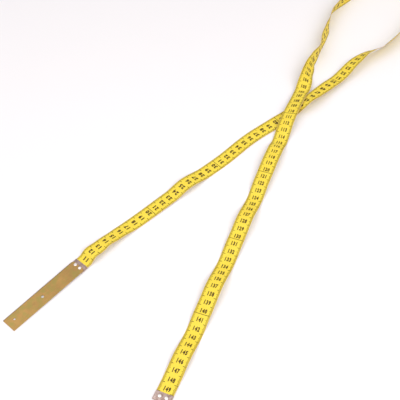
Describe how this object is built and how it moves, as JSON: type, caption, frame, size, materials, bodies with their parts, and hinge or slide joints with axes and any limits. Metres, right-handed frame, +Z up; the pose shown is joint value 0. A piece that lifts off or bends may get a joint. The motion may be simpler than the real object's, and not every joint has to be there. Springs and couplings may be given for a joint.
{
  "type": "cloth tape measure",
  "caption": "Cloth tape measure lying in one open loop, with a brass plate riveted to its zero end and a folded metal clip riveted to its last end.",
  "frame": {"origin": "middle of the base of the bounding box, on the surface that the tape lies on", "axes": "+X along the brass plate towards the cloth and the loop, +Z up from the surface, +Y to the left of +X"},
  "size_m": [0.7174, 0.2344, 0.0185],
  "materials": {
    "cloth": "woven cloth with a thin coating, semi-matt, printed in dark brown",
    "brass": "satin, brushed along its length",
    "nickel": "nickel-plated sheet, slightly dull"
  },
  "bodies": {
    "tape": {"tape_strand_a": "cloth", "tape_loop": "cloth", "tape_strand_b": "cloth"},
    "plate": {"brass_plate": "brass", "zero_clip": "nickel", "zero_rivet_left": "nickel", "zero_rivet_right": "nickel", "tape_zero_end": "cloth"},
    "end_tab": {"end_clip": "nickel", "end_rivet_left": "nickel", "end_rivet_right": "nickel", "tape_last_end": "cloth"}
  },
  "joints": [
    {"name": "plate_fold", "type": "hinge", "parent": "tape", "child": "plate", "pos_m": [-0.25564, 0.06529, 0.00115], "axis": [0, 1, 0], "range_deg": [-160, 130]},
    {"name": "end_fold", "type": "hinge", "parent": "tape", "child": "end_tab", "pos_m": [-0.30543, -0.10445, 0.00096], "axis": [-0.3256, 0.9455, 0], "range_deg": [-160, 160]}
  ]
}
